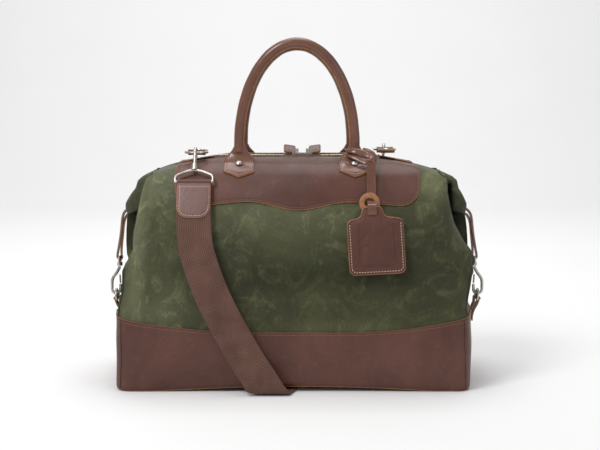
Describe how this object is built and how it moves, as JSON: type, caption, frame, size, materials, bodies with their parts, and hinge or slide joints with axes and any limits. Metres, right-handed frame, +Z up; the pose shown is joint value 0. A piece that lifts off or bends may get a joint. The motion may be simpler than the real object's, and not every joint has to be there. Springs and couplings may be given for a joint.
{
  "type": "weekender bag",
  "caption": "Structured weekender bag in waxed canvas with a leather boot and yoke, rolled handles, a two-way zip, clipped end wings, a shoulder strap and a luggage tag.",
  "frame": {"origin": "on the ground under the middle of the bag", "axes": "+X along the bag's length to its right-hand end, -Y towards its front, +Z up"},
  "size_m": [0.5776, 0.3104, 0.516],
  "materials": {
    "leather": "semi-matte pull-up leather",
    "raw_edge": "raw natural edge",
    "waxed_canvas": "waxed cotton canvas, scuffed",
    "cotton_lining": "plain cotton twill",
    "webbing": "ribbed cotton webbing",
    "antique_nickel": "antique nickel",
    "zip_tape": "woven tape",
    "board": "matte",
    "rope_core": "twisted cotton rope"
  },
  "bodies": {
    "root": {"boot_front": "leather", "boot_back": "leather", "boot_ends": "leather", "base_panel": "leather", "yoke_front": "leather", "yoke_back": "leather", "anchors_front": "leather", "anchors_back": "leather", "ring_tab_left": "leather", "ring_tab_right": "leather", "side_straps": "leather", "side_loops": "leather", "strap_end_left": "leather", "strap_end_right": "leather", "tag_knot": "leather", "canvas_front": "waxed_canvas", "canvas_back": "waxed_canvas", "gusset_left": "waxed_canvas", "gusset_right": "waxed_canvas", "wing_left": "waxed_canvas", "wing_right": "waxed_canvas", "lining": "cotton_lining", "slip_pocket": "cotton_lining", "strap_webbing": "webbing", "zip_teeth_front": "antique_nickel", "zip_teeth_back": "antique_nickel", "rivets": "antique_nickel", "strap_frame_left": "antique_nickel", "strap_frame_right": "antique_nickel", "side_eye_left": "antique_nickel", "side_eye_right": "antique_nickel", "zip_tape_front": "zip_tape", "zip_tape_back": "zip_tape", "base_board": "board"},
    "slider_left": {"slider_left": "antique_nickel"},
    "slider_right": {"slider_right": "antique_nickel"},
    "pull_left": {"puller_left": "antique_nickel", "pull_tab_left": "leather"},
    "pull_right": {"puller_right": "antique_nickel", "pull_tab_right": "leather"},
    "handle_front": {"handle_front": "leather", "handle_core_front": "rope_core"},
    "handle_back": {"handle_back": "leather", "handle_core_back": "rope_core"},
    "strap_ring_left": {"strap_ring_left": "antique_nickel"},
    "strap_ring_right": {"strap_ring_right": "antique_nickel"},
    "strap_hook_left": {"strap_hook_left": "antique_nickel"},
    "strap_hook_right": {"strap_hook_right": "antique_nickel"},
    "strap_gate_left": {"strap_gate_left": "antique_nickel"},
    "strap_gate_right": {"strap_gate_right": "antique_nickel"},
    "side_hook_left": {"side_hook_left": "antique_nickel"},
    "side_hook_right": {"side_hook_right": "antique_nickel"},
    "side_gate_left": {"side_gate_left": "antique_nickel"},
    "side_gate_right": {"side_gate_right": "antique_nickel"},
    "side_ring_left": {"side_ring_left": "antique_nickel"},
    "side_ring_right": {"side_ring_right": "antique_nickel"},
    "tag": {"tag_body": "leather", "tag_back": "raw_edge", "tag_strap": "leather"},
    "strap_glide": {"strap_glide": "antique_nickel"}
  },
  "joints": [
    {"name": "zip_left", "type": "slide", "parent": "root", "child": "slider_left", "axis": [-1, 0, 0], "range_m": [0, 0.1]},
    {"name": "pull_left", "type": "hinge", "parent": "slider_left", "child": "pull_left", "pos_m": [0.0002, 0, 0.3472], "axis": [0, 1, 0], "range_deg": [0, 76]},
    {"name": "zip_right", "type": "slide", "parent": "root", "child": "slider_right", "axis": [1, 0, 0], "range_m": [0, 0.072]},
    {"name": "pull_right", "type": "hinge", "parent": "slider_right", "child": "pull_right", "pos_m": [0.0158, 0, 0.3472], "axis": [0, -1, 0], "range_deg": [0, 76]},
    {"name": "handle_front", "type": "hinge", "parent": "root", "child": "handle_front", "pos_m": [0, -0.052, 0.359], "axis": [1, 0, 0], "range_deg": [-14, 90]},
    {"name": "handle_back", "type": "hinge", "parent": "root", "child": "handle_back", "pos_m": [0, 0.052, 0.359], "axis": [-1, 0, 0], "range_deg": [-14, 90]},
    {"name": "strap_ring_left", "type": "hinge", "parent": "root", "child": "strap_ring_left", "pos_m": [-0.15, -0.042, 0.3465], "axis": [1, 0, 0], "range_deg": [-3, 3]},
    {"name": "strap_swivel_left", "type": "hinge", "parent": "root", "child": "strap_hook_left", "pos_m": [-0.15, -0.084, 0.3255], "axis": [0, 0.5492, 0.8357], "range_deg": [-12, 12]},
    {"name": "strap_gate_left", "type": "hinge", "parent": "strap_hook_left", "child": "strap_gate_left", "pos_m": [-0.15, -0.07625, 0.3373], "axis": [1, 0, 0], "range_deg": [0, 18], "stiffness_Nm_per_rad": 0.01, "springref_deg": -5.73},
    {"name": "strap_ring_right", "type": "hinge", "parent": "root", "child": "strap_ring_right", "pos_m": [0.137, 0.042, 0.3465], "axis": [-1, 0, 0], "range_deg": [-3, 3]},
    {"name": "strap_swivel_right", "type": "hinge", "parent": "root", "child": "strap_hook_right", "pos_m": [0.137, 0.084, 0.3255], "axis": [0, -0.5492, 0.8357], "range_deg": [-12, 12]},
    {"name": "strap_gate_right", "type": "hinge", "parent": "strap_hook_right", "child": "strap_gate_right", "pos_m": [0.137, 0.07625, 0.3373], "axis": [-1, 0, 0], "range_deg": [0, 18], "stiffness_Nm_per_rad": 0.01, "springref_deg": -5.73},
    {"name": "side_ring_left", "type": "hinge", "parent": "root", "child": "side_ring_left", "pos_m": [-0.27787, 0, 0.11816], "axis": [0, -1, 0], "range_deg": [-3, 3]},
    {"name": "side_swivel_left", "type": "hinge", "parent": "root", "child": "side_hook_left", "pos_m": [-0.274, 0, 0.172], "axis": [0, 0, 1], "range_deg": [-12, 12]},
    {"name": "side_gate_left", "type": "hinge", "parent": "side_hook_left", "child": "side_gate_left", "pos_m": [-0.2745, 0, 0.157], "axis": [0, 1, 0], "range_deg": [0, 22], "stiffness_Nm_per_rad": 0.01, "springref_deg": -5.73},
    {"name": "side_ring_right", "type": "hinge", "parent": "root", "child": "side_ring_right", "pos_m": [0.27787, 0, 0.11816], "axis": [0, 1, 0], "range_deg": [-3, 3]},
    {"name": "side_swivel_right", "type": "hinge", "parent": "root", "child": "side_hook_right", "pos_m": [0.274, 0, 0.172], "axis": [0, 0, 1], "range_deg": [-12, 12]},
    {"name": "side_gate_right", "type": "hinge", "parent": "side_hook_right", "child": "side_gate_right", "pos_m": [0.2745, 0, 0.157], "axis": [0, -1, 0], "range_deg": [0, 22], "stiffness_Nm_per_rad": 0.01, "springref_deg": -5.73},
    {"name": "tag_swing", "type": "hinge", "parent": "root", "child": "tag", "pos_m": [0.109, -0.079, 0.3356], "axis": [-1, 0, 0], "range_deg": [0, 50]},
    {"name": "strap_adjuster", "type": "slide", "parent": "root", "child": "strap_glide", "axis": [0.2179, -0.0459, 0.9749], "range_m": [-0.009, 0.009]}
  ]
}
